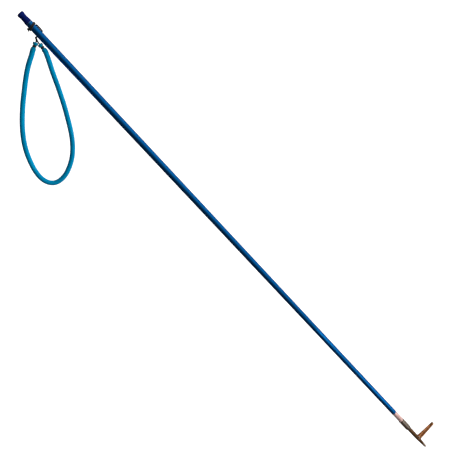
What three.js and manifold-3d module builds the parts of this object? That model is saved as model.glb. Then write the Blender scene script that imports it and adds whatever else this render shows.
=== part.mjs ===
// Pole spear: anodised tube, rubber butt plug, tubing sling on a cord bridle,
// and a screw-on head with one hinged barb. Millimetres. The pole's axis is the
// X axis, butt at x = 0 and point towards +X; the sling lies on the -Y side,
// the open barb stands on the +Y side, and +Z is up.
import * as THREE from 'three';
import { mergeVertices } from 'three/addons/utils/BufferGeometryUtils.js';
import Module from 'manifold-3d';

const { degToRad, clamp, smoothstep } = THREE.MathUtils;

// ---- driving dimensions (mm) ----
// Pole tube, with a cross-hole along Y for the cord
const POLE_R = 7.0;
const POLE_BORE_R = 5.95;
const POLE_EDGE = [0.3, 0.25];                // edge chamfer: along X, radial
const TUBE_X0 = 22.6;
const TUBE_X1 = 1338.0;
const HOLE_X = 50.0;
const HOLE_R = 2.2;

// Cord and its lashing round the pole
const CORD_R = 1.4;
const WRAP_X = 29.6;
const WRAP_PITCH = 2.5;
const WRAP_TILT = 9;                          // degrees off square
const WRAP_R = POLE_R + 1.2;                  // to the middle of the turn's section
const WRAP_HALF_WIDTH = 1.34;
const WRAP_HALF_THICK = 0.92;
const BRIDLE_Y = -8.95;                       // the two cord legs meet here, at the hole

// Sling tubing: a drooping loop with two straight tails
const BAND_R = 5.1;
const BAND_BORE_R = 2.4;
const TAIL_Z = -0.6;
const LOOP_Z = -3.1;
const DROOP_FROM = 27;                        // distances from the bridle
const DROOP_TO = 77;
const TAIL_LEN = 15.0;
const NECK_AT = 8.0;                          // lashed neck, measured from the mouth
const NECK_HALF_LEN = 2.0;
const BAND_OVERLAP = 0.4;                     // the loop starts this far inside a tail
const BAND_LEAD = 1.6;                        // and runs straight this far past it
const TAILS = {                               // mouth and direction in the XY plane
  left: { mouth: [56.0, -15.6], direction: [0.41, -0.912] },
  right: { mouth: [62.6, -12.75], direction: [0.996, -0.089] },
};

// Head: stud, hex adaptor, tip shaft
const STUD_R = 3.7;
const STUD_BORE_R = 3.82;
const ADAPTOR_X0 = 1377.3;
const ADAPTOR_X1 = 1418.5;
const HEX_ACROSS_FLATS = 15.0;
const HEX_LEN = 30.3;
const HEX_SETBACK = 2.0;                      // from the adaptor's butt-side face
const SHAFT_R = 5.6;
const TIP_X = 1511.0;

// Barb and its pivot, whose axis runs along Z
const PIVOT_X = 1467.6;
const PIN_R = 1.5;
const BARB_HOLE_R = 1.58;
const SHAFT_HOLE_R = 1.8;
const BARB_ANGLE = 94;                        // degrees from +X, standing open
const BARB_LEN = 61.0;
const HEEL_R = 4.5;
const BARB_BACK_FROM = 5.3;                   // the channel's back starts here
const BARB_HOLLOW_TO = 50.5;                  // solid from here to the free end

// ---- finishes ----
const FINISHES = {
  tube: { color: 0x0b4f8f, roughness: 0.28, metalness: 0.85 },
  plug: { color: 0x14205e, roughness: 0.6, metalness: 0.0 },
  cord: { color: 0x17181a, roughness: 0.85, metalness: 0.0 },
  latex: { color: 0x0a86ad, roughness: 0.38, metalness: 0.0 },
  ligature: { color: 0x101214, roughness: 0.8, metalness: 0.0 },
  ferrule: { color: 0xd8b4ae, roughness: 0.3, metalness: 0.9 },
  seal: { color: 0x0d0d0e, roughness: 0.7, metalness: 0.0 },
  stud: { color: 0x8d8a86, roughness: 0.35, metalness: 0.95 },
  adaptor: { color: 0x6e625a, roughness: 0.42, metalness: 0.9 },
  shaft: { color: 0x56402f, roughness: 0.5, metalness: 0.85 },
  barb: { color: 0x9b6946, roughness: 0.42, metalness: 0.85 },
  rivet: { color: 0x8f8072, roughness: 0.35, metalness: 0.9 },
};

// ---- solids and meshes ----
const wasm = await Module();
wasm.setup();

// Welds a closed geometry into a solid, turning its faces outward if they
// wind inward. The geometry is used up.
function toSolid(geometry) {
  geometry.deleteAttribute('normal');
  geometry.deleteAttribute('uv');
  const welded = mergeVertices(geometry, 1e-4);
  const positions = welded.attributes.position.array;
  const indices = welded.index.array;
  const corners = [new THREE.Vector3(), new THREE.Vector3(), new THREE.Vector3()];
  let volume = 0;
  for (let i = 0; i < indices.length; i += 3) {
    corners.forEach((corner, k) => corner.fromArray(positions, indices[i + k] * 3));
    volume += corners[0].dot(corners[1].cross(corners[2]));
  }
  const triangles = [];
  for (let i = 0; i < indices.length; i += 3) {
    const [first, second, third] = indices.subarray(i, i + 3);
    if (first === second || second === third || first === third) continue;
    if (volume < 0) triangles.push(first, third, second);
    else triangles.push(first, second, third);
  }
  return new wasm.Manifold(new wasm.Mesh({
    numProp: 3,
    vertProperties: new Float32Array(positions),
    triVerts: new Uint32Array(triangles),
  }));
}

// Flat-shaded geometry of a solid
function toGeometry(solid) {
  const { vertProperties, triVerts } = solid.getMesh();
  const shared = new THREE.BufferGeometry();
  shared.setAttribute('position', new THREE.BufferAttribute(vertProperties, 3));
  shared.setIndex(new THREE.BufferAttribute(triVerts, 1));
  const flat = shared.toNonIndexed();
  flat.computeVertexNormals();
  return flat;
}

const join = (...geometries) => geometries.map(toSolid).reduce((all, next) => all.add(next));

const group = new THREE.Group();
group.name = 'pole_spear';

function addPiece(name, solid, finish) {
  const mesh = new THREE.Mesh(toGeometry(solid), new THREE.MeshStandardMaterial(finish));
  mesh.name = name;
  group.add(mesh);
}

// ---- shape helpers ----
// Turned about the X axis; profile rows are [x along the axis, radius]
function turned(profile, segments) {
  const points = profile.map(([x, radius]) => new THREE.Vector2(radius, x));
  return new THREE.LatheGeometry(points, segments)
    .rotateZ(-Math.PI / 2)                    // the lathe axis becomes +X
    .rotateX(Math.PI / segments);             // facet flats face up and down
}

// Rods centred on the X axis
function rodY(x, radius, length, segments) {
  return new THREE.CylinderGeometry(radius, radius, length, segments).translate(x, 0, 0);
}
const rodZ = (...size) => rodY(...size).rotateX(Math.PI / 2);

function polygon(points) {
  const shape = new THREE.Shape(points.map(([x, y]) => new THREE.Vector2(x, y)));
  shape.closePath();
  return shape;
}

function circlePoints(radius, sides) {
  return Array.from({ length: sides }, (_, i) => {
    const angle = (2 * Math.PI * i) / sides;
    return [radius * Math.cos(angle), radius * Math.sin(angle)];
  });
}

function sweep(section, points, steps) {
  const vectors = points.map((point) => new THREE.Vector3(...point));
  const extrudePath = new THREE.CatmullRomCurve3(vectors, false, 'centripetal');
  return new THREE.ExtrudeGeometry(section, { steps, bevelEnabled: false, extrudePath });
}

function cordAlong(points, steps, radius = CORD_R, sides = 8) {
  return sweep(polygon(circlePoints(radius, sides)), points, steps);
}

// ---- pole tube ----
function poleTube() {
  const [edgeX, edgeR] = POLE_EDGE;
  const tube = turned([
    [TUBE_X0, POLE_BORE_R], [TUBE_X0, POLE_R - edgeR], [TUBE_X0 + edgeX, POLE_R],
    [TUBE_X1 - edgeX, POLE_R], [TUBE_X1, POLE_R - edgeR], [TUBE_X1, POLE_BORE_R],
    [TUBE_X0, POLE_BORE_R],
  ], 32);
  return toSolid(tube).subtract(toSolid(rodY(HOLE_X, HOLE_R, 16, 20)));
}

// ---- butt plug: flat end, lip, waist, flange, ribbed spigot in the tube ----
function buttPlug() {
  return toSolid(turned([
    [0, 0], [0, 4.2], [0.3, 5.3], [1.2, 6.4], [2.4, 7.0], [4.2, 7.05], [5.2, 6.75],
    [7.7, 6.35], [11.7, 6.3], [15.4, 6.45], [18.5, 6.85], [20.2, 7.15], [22.0, 7.2],
    [22.3, 7.05], [22.3, 5.6], [28.5, 5.6], [29.5, 5.8], [30.9, 5.6], [39.5, 5.6],
    [41.0, 4.6], [41.0, 0],
  ], 24));
}

// ---- cord lashing: two flattened turns with a knot on the -Y side ----
function wrapTurn(x) {
  const section = [];
  for (let i = 0; i < 6; i++) {
    const angle = (2 * Math.PI * i) / 6 + Math.PI / 6;
    section.push([
      WRAP_HALF_WIDTH * Math.cos(angle),
      WRAP_R + WRAP_HALF_THICK * Math.sin(angle),
    ]);
  }
  section.push(section[0]);
  return turned(section, 22).rotateZ(degToRad(WRAP_TILT)).translate(x, 0, 0);
}

function cordWrap() {
  const knot = new THREE.SphereGeometry(1, 10, 6)
    .scale(2.6, 1.8, 2.3)
    .translate(31.0, -9.2, 0.6);
  const knotTail = cordAlong(
    [[31.0, -9.6, 0.4], [32.3, -10.8, -0.4], [33.2, -12.0, -1.4]], 3, 1.15, 7);
  return join(
    wrapTurn(WRAP_X - WRAP_PITCH / 2), wrapTurn(WRAP_X + WRAP_PITCH / 2), knot, knotTail);
}

// ---- tether cord: bows off the +Y side and passes through the cross-hole ----
function tetherCord() {
  return toSolid(cordAlong([
    [32.6, 8.75, 0], [36.0, 9.0, 0], [41.0, 9.2, 0], [45.4, 9.15, 0], [48.4, 8.7, 0],
    [49.9, 7.2, 0], [HOLE_X, 4.6, 0], [HOLE_X, -1.0, 0], [HOLE_X, -6.5, 0],
  ], 22));
}

// ---- bridle: small knot at the hole, two legs to the tubing tails ----
function bridleCord() {
  const start = [HOLE_X, BRIDLE_Y, 0];
  const leftEnd = [55.5, -13.4, TAIL_Z];
  const [rightX, rightY] = TAILS.right.mouth;
  const rightEnd = [rightX - 0.7, rightY + 0.06, TAIL_Z];
  return join(
    new THREE.SphereGeometry(1.9, 10, 6).translate(...start),
    cordAlong([start, [51.9, -10.6, -0.2], [54.2, -12.3, -0.5], leftEnd], 6),
    new THREE.SphereGeometry(CORD_R, 8, 6).translate(...leftEnd),
    cordAlong([start, [53.6, -10.3, -0.2], [58.0, -12.1, -0.5], rightEnd], 7));
}

// ---- sling band: latex tubing with a lashed neck near each end ----
// Loop centreline from the left tail round to the right tail: [x, y]
const LOOP = [
  [67.1, -37.8], [72.9, -49.6], [80.2, -62.4], [93.3, -81.2], [107.0, -99.2],
  [121.3, -117.2], [136.5, -134.5], [152.9, -151.1], [170.8, -166.2], [190.7, -179.2],
  [212.2, -189.2], [227.3, -194.3], [243.1, -197.2], [251.1, -197.1], [259.0, -195.3],
  [266.1, -191.9], [271.9, -186.8], [275.4, -179.6], [276.8, -171.5], [276.4, -163.4],
  [275.0, -155.3], [272.3, -147.5], [269.0, -139.9], [261.0, -125.8], [250.6, -112.9],
  [238.9, -101.8], [226.4, -91.9], [213.0, -83.1], [199.6, -75.0], [179.4, -63.3],
  [159.1, -52.7], [138.9, -42.8], [118.7, -33.5], [105.9, -27.1], [93.1, -20.4],
  [84.6, -16.6],
];

// The point a distance along a tail from its mouth
function alongTail({ mouth, direction }, distance) {
  return [mouth[0] + direction[0] * distance, mouth[1] + direction[1] * distance];
}

// Lays a turned shape along a tail, its x = 0 at the given distance from the mouth
function onTail(geometry, tail, distance = 0) {
  const [x, y] = alongTail(tail, distance);
  const [directionX, directionY] = tail.direction;
  return geometry.rotateZ(Math.atan2(directionY, directionX)).translate(x, y, TAIL_Z);
}

function loopZ(x, y) {
  const distance = Math.hypot(x - HOLE_X, y - BRIDLE_Y);
  return TAIL_Z + (LOOP_Z - TAIL_Z) * smoothstep(distance, DROOP_FROM, DROOP_TO);
}

function loopTube() {
  const inside = TAIL_LEN - BAND_OVERLAP;
  const beyond = TAIL_LEN + BAND_LEAD;
  const centreline = [
    alongTail(TAILS.left, inside), alongTail(TAILS.left, beyond), ...LOOP,
    alongTail(TAILS.right, beyond), alongTail(TAILS.right, inside),
  ];
  const ring = polygon(circlePoints(BAND_R, 12));
  ring.holes.push(polygon(circlePoints(BAND_BORE_R, 6).reverse()));
  return sweep(ring, centreline.map(([x, y]) => [x, y, loopZ(x, y)]), 56);
}

function tailTube() {
  return turned([
    [0, 1.8], [0, 4.2], [0.5, 4.65], [2.4, 5.1], [4.4, 4.95], [5.7, 3.9],
    [NECK_AT - NECK_HALF_LEN, 2.75], [NECK_AT + NECK_HALF_LEN, 2.75],
    [10.3, 3.9], [11.5, 4.95], [12.8, BAND_R], [TAIL_LEN, BAND_R],
    [TAIL_LEN, BAND_BORE_R], [10.6, BAND_BORE_R], [9.2, 1.65], [6.8, 1.65],
    [5.0, 1.8], [0, 1.8],
  ], 12);
}

function slingBand() {
  return join(loopTube(), onTail(tailTube(), TAILS.left), onTail(tailTube(), TAILS.right));
}

// ---- lashing round a neck ----
function ligature(tail) {
  const band = turned([
    [-1.35, 3.1], [-1.55, 3.6], [-1.1, 4.15], [-0.45, 4.2], [0, 3.85],
    [0.45, 4.2], [1.1, 4.15], [1.55, 3.6], [1.35, 3.1], [-1.35, 3.1],
  ], 16);
  return toSolid(onTail(band, tail, NECK_AT));
}

// ---- knotted cord end inside the tubing ----
function stopperKnot(tail) {
  const knot = turned([
    [0.1, 0], [0.1, CORD_R], [10.6, CORD_R], [11.2, 1.7], [12.2, 1.95], [13.4, 1.8],
    [14.1, 1.2], [14.3, 0],
  ], 10);
  return toSolid(onTail(knot, tail));
}

// ---- front ferrule: spigot in the tube, a lip at each end, stud socket ----
function frontFerrule() {
  return toSolid(turned([
    [1312, 0], [1312, 5.0], [1313, 5.7], [1338.3, 5.7], [1338.3, 6.7], [1338.8, 7.0],
    [1341.2, 7.0], [1341.8, 6.65], [1345, 6.6], [1369.1, 6.6], [1372.2, 6.7],
    [1372.8, 7.0], [1375.0, 7.0], [1375.4, 6.75], [1375.4, STUD_BORE_R],
    [1361.2, STUD_BORE_R], [1359.8, 0],
  ], 24));
}

// ---- rubber seal ring between ferrule and adaptor ----
function sealRing() {
  return toSolid(turned([
    [1375.8, 4.8], [1375.7, 5.4], [1376.0, 6.3], [1376.5, 6.45], [1376.9, 6.05],
    [1377.0, 5.3], [1376.7, 4.7], [1375.8, 4.8],
  ], 22));
}

// ---- stud: thread relief in the middle, chamfered ends ----
function threadedStud() {
  return toSolid(turned([
    [1362.6, 0], [1362.6, 3.0], [1363.3, STUD_R], [1375.0, STUD_R], [1375.5, 3.2],
    [1378.0, 3.2], [1378.5, STUD_R], [1388.0, STUD_R], [1388.7, 3.0], [1388.7, 0],
  ], 24));
}

// ---- hex adaptor: round flange, six wrench flats, turned nose, bored both ends ----
function hexAdaptor() {
  const cornerR = HEX_ACROSS_FLATS / 2 / Math.cos(Math.PI / 6);
  const hex = new THREE.CylinderGeometry(cornerR, cornerR, HEX_LEN, 6)
    .rotateZ(-Math.PI / 2)                    // flats face +Y and -Y, an edge faces up
    .translate(ADAPTOR_X0 + HEX_SETBACK + HEX_LEN / 2, 0, 0);
  const hexEnds = turned([                    // chamfers the corners of the hex
    [ADAPTOR_X0, 0], [ADAPTOR_X0, 7.3], [ADAPTOR_X0 + 1.6, 7.4], [ADAPTOR_X0 + 3.0, 8.8],
    [1407.6, 8.8], [1409.6, 7.45], [1409.6, 0],
  ], 24);
  const flange = turned([
    [ADAPTOR_X0, 0], [ADAPTOR_X0, 7.4], [ADAPTOR_X0 + 0.4, 7.75],
    [ADAPTOR_X0 + 2.0, 7.75], [ADAPTOR_X0 + 2.5, 6.4], [ADAPTOR_X0 + 2.5, 0],
  ], 24);
  const nose = turned([
    [1400.0, 0], [1400.0, 6.4], [1409.0, 7.25], [1413.2, 7.25], [1417.6, 6.4],
    [ADAPTOR_X1, 5.9], [ADAPTOR_X1, 0],
  ], 24);
  const studBore = turned(
    [[ADAPTOR_X0 - 1, 0], [ADAPTOR_X0 - 1, 4.0], [1389.6, 4.0], [1390.8, 0]], 24);
  const shaftBore = turned(
    [[1404.6, 0], [1406.0, 3.2], [ADAPTOR_X1 + 1, 3.2], [ADAPTOR_X1 + 1, 0]], 24);
  return toSolid(hex).intersect(toSolid(hexEnds))
    .add(toSolid(flange))
    .add(toSolid(nose))
    .subtract(join(studBore, shaftBore));
}

// ---- tip shaft: tang in the adaptor, pivot hole, blunt point ----
function tipShaft() {
  const shaft = turned([
    [1406.4, 0], [1406.4, 2.4], [1407.0, 2.9], [ADAPTOR_X1 + 0.3, 2.9],
    [ADAPTOR_X1 + 0.3, 5.3], [ADAPTOR_X1 + 0.8, SHAFT_R], [1455, SHAFT_R],
    [1461, 5.4], [1474, 5.0], [1481, 4.5], [1493, 3.9], [1507.0, 3.3],
    [1509.6, 2.5], [TIP_X, 1.6], [TIP_X, 0],
  ], 24);
  return toSolid(shaft).subtract(toSolid(rodZ(PIVOT_X, SHAFT_HOLE_R, 14, 24)));
}

// ---- barb: channel astride the shaft, solid free end ----
// Built with the pivot at the origin, the barb along +X, the channel's back
// towards -Y; then swung open.
// Section points are [across the channel, depth], open side towards +depth
function channelSection({ halfDepth, halfHeight, corner, openTo }) {
  const points = [[-halfHeight, openTo]];
  for (const side of [-1, 1]) {
    const startAngle = side < 0 ? Math.PI : 1.5 * Math.PI;
    for (let i = 0; i <= 4; i++) {
      const angle = startAngle + (Math.PI / 2) * (i / 4);
      points.push([
        side * (halfHeight - corner) + corner * Math.cos(angle),
        -halfDepth + corner + corner * Math.sin(angle),
      ]);
    }
  }
  points.push([halfHeight, openTo]);
  return polygon(points);
}

const depthScale = (x) => 1 - 0.36 * clamp(x / BARB_LEN, 0, 1);
const heightScale = (x) => 1 - 0.30 * clamp((x - 18) / (BARB_LEN - 18), 0, 1);

function taperedBar(section, { from, to, steps }) {
  const bar = new THREE.ExtrudeGeometry(section, {
    depth: to - from, steps, bevelEnabled: false });
  // section across -> -Z, section depth -> Y, extrusion -> +X
  const vertices = bar.attributes.position;
  for (let i = 0; i < vertices.count; i++) {
    const across = vertices.getX(i);
    const depth = vertices.getY(i);
    const x = from + vertices.getZ(i);
    vertices.setXYZ(i, x, depth * depthScale(x), -across * heightScale(x));
  }
  return bar;
}

// Side view [x, y]: slanted tip, open edge rising to the pivot, round heel
function barbOutline() {
  const heel = [];
  for (let i = 0; i <= 10; i++) {
    const angle = degToRad(68 + 190 * (i / 10));
    heel.push([HEEL_R * Math.cos(angle), HEEL_R * Math.sin(angle)]);
  }
  return polygon([
    [BARB_LEN - 3.6, -5.4], [BARB_LEN, 0.1], [BARB_LEN - 0.4, 0.5],
    [44, 0.6], [25, 0.9], [12, 1.5], [6, 2.8],
    ...heel, [2.0, -HEEL_R], [3.5, -6.5],
  ]);
}

function barb() {
  const outer = taperedBar(
    channelSection({ halfDepth: 5.5, halfHeight: 6.5, corner: 4.7, openTo: 6.0 }),
    { from: -6.5, to: BARB_LEN + 3, steps: 7 });
  const hollow = taperedBar(
    channelSection({ halfDepth: 4.65, halfHeight: 5.65, corner: 4.0, openTo: 12.0 }),
    { from: -9, to: BARB_HOLLOW_TO, steps: 8 });
  const sideBlock = new THREE.ExtrudeGeometry(barbOutline(), { depth: 16, bevelEnabled: false })
    .translate(0, 0, -8);
  // the channel's back starts clear of the shaft
  const backClear = new THREE.BoxGeometry(14, 14, 2 * SHAFT_R)
    .translate(BARB_BACK_FROM - 7, 0, 0);
  return toSolid(outer).subtract(toSolid(hollow))
    .intersect(toSolid(sideBlock))
    .subtract(toSolid(backClear))
    .subtract(toSolid(rodZ(0, BARB_HOLE_R, 20, 28)))
    .rotate([0, 0, BARB_ANGLE])
    .translate([PIVOT_X, 0, 0]);
}

// ---- barb rivet with low domed heads ----
function barbRivet() {
  const profile = [                           // [radius, place along the rivet]
    [0, -7.45], [1.6, -7.35], [2.5, -7.0], [2.6, -6.75], [PIN_R, -6.75],
    [PIN_R, 6.75], [2.6, 6.75], [2.5, 7.0], [1.6, 7.35], [0, 7.45],
  ].map(([radius, y]) => new THREE.Vector2(radius, y));
  return toSolid(new THREE.LatheGeometry(profile, 28)
    .rotateX(Math.PI / 2)
    .translate(PIVOT_X, 0, 0));
}

// ---- assembly, butt to point ----
addPiece('pole_tube', poleTube(), FINISHES.tube);
addPiece('butt_plug', buttPlug(), FINISHES.plug);
addPiece('cord_wrap', cordWrap(), FINISHES.cord);
addPiece('tether_cord', tetherCord(), FINISHES.cord);
addPiece('bridle_cord', bridleCord(), FINISHES.cord);
addPiece('sling_band', slingBand(), FINISHES.latex);
for (const [side, tail] of Object.entries(TAILS)) {
  addPiece(`ligature_${side}`, ligature(tail), FINISHES.ligature);
  addPiece(`stopper_knot_${side}`, stopperKnot(tail), FINISHES.cord);
}
addPiece('front_ferrule', frontFerrule(), FINISHES.ferrule);
addPiece('seal_ring', sealRing(), FINISHES.seal);
addPiece('threaded_stud', threadedStud(), FINISHES.stud);
addPiece('hex_adaptor', hexAdaptor(), FINISHES.adaptor);
addPiece('tip_shaft', tipShaft(), FINISHES.shaft);
addPiece('barb', barb(), FINISHES.barb);
addPiece('barb_rivet', barbRivet(), FINISHES.rivet);

export default group;
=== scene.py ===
"""A pole spear: the pole lies along X with its butt at x = 0 and its point at x = 1.511 m.

The sling band loops out on the -Y side near the butt. The hinged barb stands out on the +Y side
near the point. Lengths are in mm unless a comment says metres; shaders and lights are in metres.
"""
import bpy
import bmesh
import math
import numpy as np
from mathutils import Vector, Matrix


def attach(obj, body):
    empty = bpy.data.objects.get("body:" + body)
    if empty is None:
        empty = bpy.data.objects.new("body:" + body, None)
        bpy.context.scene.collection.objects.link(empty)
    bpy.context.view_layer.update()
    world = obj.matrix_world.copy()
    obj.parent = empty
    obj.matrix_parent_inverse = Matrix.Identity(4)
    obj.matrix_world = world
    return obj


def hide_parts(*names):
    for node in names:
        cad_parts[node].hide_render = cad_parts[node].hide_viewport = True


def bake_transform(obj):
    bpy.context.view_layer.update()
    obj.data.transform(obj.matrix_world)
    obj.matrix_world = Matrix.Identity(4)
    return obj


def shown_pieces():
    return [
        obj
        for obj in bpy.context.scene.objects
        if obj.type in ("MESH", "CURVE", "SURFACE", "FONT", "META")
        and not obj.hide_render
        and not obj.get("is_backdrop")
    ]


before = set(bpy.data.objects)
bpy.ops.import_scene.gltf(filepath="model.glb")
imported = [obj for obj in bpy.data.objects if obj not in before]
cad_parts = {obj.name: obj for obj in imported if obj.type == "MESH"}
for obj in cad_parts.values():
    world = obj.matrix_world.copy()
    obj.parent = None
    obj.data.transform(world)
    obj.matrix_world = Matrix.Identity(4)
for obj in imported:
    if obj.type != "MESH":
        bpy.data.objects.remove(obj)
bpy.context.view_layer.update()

MM = 0.001

POLE_R, BORE_R = 7.0, 5.95
TUBE_X0, TUBE_X1 = 22.6, 1338.0
HOLE_X = 50.0             # cross-hole along Y, for the tether cord
CORD_R = 1.4
LIGATURE_AT = 8.0         # from the mouth of the sling band to the middle of its ligature
COUPLING_X0, COUPLING_X1 = 1377.3, 1418.5
PIVOT_X = 1467.6          # barb rivet
BARB_LENGTH = 61.0        # from the pivot to the free end

# ------------------------------------------------------------------ profiles and paths


def refine(profile, step):
    """Adds points along the straight pieces, so that no piece is longer than step."""
    out = [profile[0]]
    for p, q in zip(profile[:-1], profile[1:]):
        n = max(1, int(math.ceil(math.hypot(q[0] - p[0], q[1] - p[1]) / step)))
        for i in range(1, n + 1):
            t = i / n
            out.append((p[0] + (q[0] - p[0]) * t, p[1] + (q[1] - p[1]) * t))
    return out


def rounded(profile, radius, n=4):
    """Rounds the corners of a profile of (x, r) points with small arcs of n pieces."""
    out = [profile[0]]
    for before, corner, after in zip(profile[:-2], profile[1:-1], profile[2:]):
        before, corner, after = (np.array(p, float) for p in (before, corner, after))
        len_in, len_out = np.linalg.norm(before - corner), np.linalg.norm(after - corner)
        cut = min(radius, 0.4 * len_in, 0.4 * len_out)
        p = corner + (before - corner) / len_in * cut
        q = corner + (after - corner) / len_out * cut
        for i in range(n + 1):
            t = i / n
            out.append(tuple((1 - t) ** 2 * p + 2 * t * (1 - t) * corner + t * t * q))
    out.append(profile[-1])
    return out


def spline(points, per):
    """Centripetal Catmull-Rom through the points, with per samples for each span."""
    p = np.asarray(points, float)
    p = np.vstack([2 * p[0] - p[1], p, 2 * p[-1] - p[-2]])
    out = []
    for i in range(1, len(p) - 2):
        p0, p1, p2, p3 = p[i - 1], p[i], p[i + 1], p[i + 2]
        t0 = 0.0
        t1 = t0 + max(1e-6, np.linalg.norm(p1 - p0)) ** 0.5
        t2 = t1 + max(1e-6, np.linalg.norm(p2 - p1)) ** 0.5
        t3 = t2 + max(1e-6, np.linalg.norm(p3 - p2)) ** 0.5
        for t in np.linspace(t1, t2, per, endpoint=False):
            a1 = (t1 - t) / (t1 - t0) * p0 + (t - t0) / (t1 - t0) * p1
            a2 = (t2 - t) / (t2 - t1) * p1 + (t - t1) / (t2 - t1) * p2
            a3 = (t3 - t) / (t3 - t2) * p2 + (t - t2) / (t3 - t2) * p3
            b1 = (t2 - t) / (t2 - t0) * a1 + (t - t0) / (t2 - t0) * a2
            b2 = (t3 - t) / (t3 - t1) * a2 + (t - t1) / (t3 - t1) * a3
            out.append((t2 - t) / (t2 - t1) * b1 + (t - t1) / (t2 - t1) * b2)
    out.append(p[-2])
    return np.array(out)


def even(path, step, closed=False):
    """Evenly spaced points along a polyline, the distance of each, and the whole length."""
    if closed:
        path = np.vstack([path, path[:1]])
    run = np.r_[0, np.cumsum(np.linalg.norm(np.diff(path, axis=0), axis=1))]
    n = int(round(run[-1] / step))
    s = np.linspace(0, run[-1], n if closed else n + 1, endpoint=not closed)
    return np.stack([np.interp(s, run, path[:, k]) for k in range(3)], 1), s, run[-1]


def cross_axes(path, closed):
    """Two unit axes across the path at each point, carried along it without twist."""
    if closed:
        tangents = np.roll(path, -1, 0) - np.roll(path, 1, 0)
    else:
        tangents = np.gradient(path, axis=0)
    tangents /= np.linalg.norm(tangents, axis=1)[:, None]

    def square_to(tangent, vector):
        vector = vector - tangent * np.dot(vector, tangent)
        return vector / np.linalg.norm(vector)

    first = tangents[0]
    up = np.array([0, 0, 1.0]) if abs(first[2]) < 0.8 else np.array([0, 1.0, 0])
    normal = np.cross(up, first)
    normals = [normal / np.linalg.norm(normal)]
    for tangent in tangents[1:]:
        normals.append(square_to(tangent, normals[-1]))
    normals = np.array(normals)
    if closed:  # spread the twist left over after one lap
        last = square_to(first, normals[-1])
        twist = math.atan2(np.dot(np.cross(last, normals[0]), first), np.dot(last, normals[0]))
        angle = np.linspace(0, twist, len(path), endpoint=False)[:, None]
        normals = normals * np.cos(angle) + np.cross(tangents, normals) * np.sin(angle)
    return normals, np.cross(tangents, normals)


def circle(segs):
    return np.linspace(0, 2 * math.pi, segs, endpoint=False)


# ------------------------------------------------------------------ meshes


def smooth(me, sharp=None):
    """Shades smooth, with edges above the angle sharp (degrees) kept sharp."""
    me.shade_smooth()
    if sharp is not None:
        me.set_sharp_from_angle(angle=math.radians(sharp))


def link(name, me):
    ob = bpy.data.objects.new(name, me)
    bpy.context.scene.collection.objects.link(ob)
    return ob


def solid(name, verts, faces, uv=None, sharp=None):
    """A closed mesh facing outwards. uv has a pair per face corner; without it, shading is flat."""
    me = bpy.data.meshes.new(name)
    verts = (np.asarray(verts, float) * MM).tolist()
    me.from_pydata(verts, [], [tuple(map(int, f)) for f in faces])
    if uv is not None:
        layer = me.uv_layers.new(name="sweep")
        layer.data.foreach_set("uv", np.asarray(uv, np.float32).ravel())
    me.validate()
    me.update()
    if uv is not None:
        smooth(me, sharp)
    bm = bmesh.new()
    bm.from_mesh(me)
    bmesh.ops.remove_doubles(bm, verts=bm.verts, dist=1e-7)
    bmesh.ops.recalc_face_normals(bm, faces=bm.faces)
    if bm.calc_volume(signed=True) < 0:
        bmesh.ops.reverse_faces(bm, faces=bm.faces)
    bm.to_mesh(me)
    bm.free()
    me.update()
    return link(name, me)


def grid(heights, rings, segs):
    """Quads between consecutive rings, with UVs: u round, v from heights.

    One height more than there are rings joins the last ring to the first.
    """
    faces, uv = [], []
    for i in range(len(heights) - 1):
        a, b = i * segs, ((i + 1) % rings) * segs
        v0, v1 = heights[i], heights[i + 1]
        for j in range(segs):
            k = (j + 1) % segs
            faces.append((a + j, a + k, b + k, b + j))
            u0, u1 = j / segs, (j + 1) / segs
            uv += [(u0, v0), (u1, v0), (u1, v1), (u0, v1)]
    return faces, uv


def cap_ends(faces, uv, rings, segs, u_span, v_last):
    """Adds fans at both ends of a grid, to centre vertices that follow its own vertices."""
    first = rings * segs
    b = first - segs
    for j in range(segs):
        k = (j + 1) % segs
        faces += [(first, k, j), (first + 1, b + j, b + k)]
        uv += [(u_span * j / segs, 0)] * 3 + [(u_span * j / segs, v_last)] * 3


def lathe(name, profile, segs=96, sharp=32, wall=False):
    """A turned piece about X, from (x, r) points. wall=True closes the profile on itself."""
    points = np.array(profile, float)
    angles = circle(segs)
    verts, rows = [], []  # a row is whether the point is on the axis, and its first vertex
    for x, r in points:
        on_axis = r < 1e-6
        rows.append((on_axis, len(verts)))
        if on_axis:
            verts.append((x, 0, 0))
        else:
            verts.extend(zip([x] * segs, r * np.cos(angles), r * np.sin(angles)))
    faces, uv = [], []
    run = np.r_[0, np.cumsum(np.hypot(*np.diff(points, axis=0).T))]
    count = len(points)
    pairs = [(i, i + 1) for i in range(count - 1)] + ([(count - 1, 0)] if wall else [])
    for i, k in pairs:
        (a_on_axis, a), (b_on_axis, b) = rows[i], rows[k]
        v0, v1 = run[i], run[k] if k > i else run[i] + 1
        for j in range(segs):
            m = (j + 1) % segs
            u0, u1 = j / segs, (j + 1) / segs
            if a_on_axis:
                faces.append((a, b + m, b + j))
                uv += [(u0, v0), (u1, v1), (u0, v1)]
            elif b_on_axis:
                faces.append((a + j, a + m, b))
                uv += [(u0, v0), (u1, v0), (u0, v1)]
            else:
                faces.append((a + j, a + m, b + m, b + j))
                uv += [(u0, v0), (u1, v0), (u1, v1), (u0, v1)]
    return solid(name, verts, faces, uv, sharp)


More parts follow.
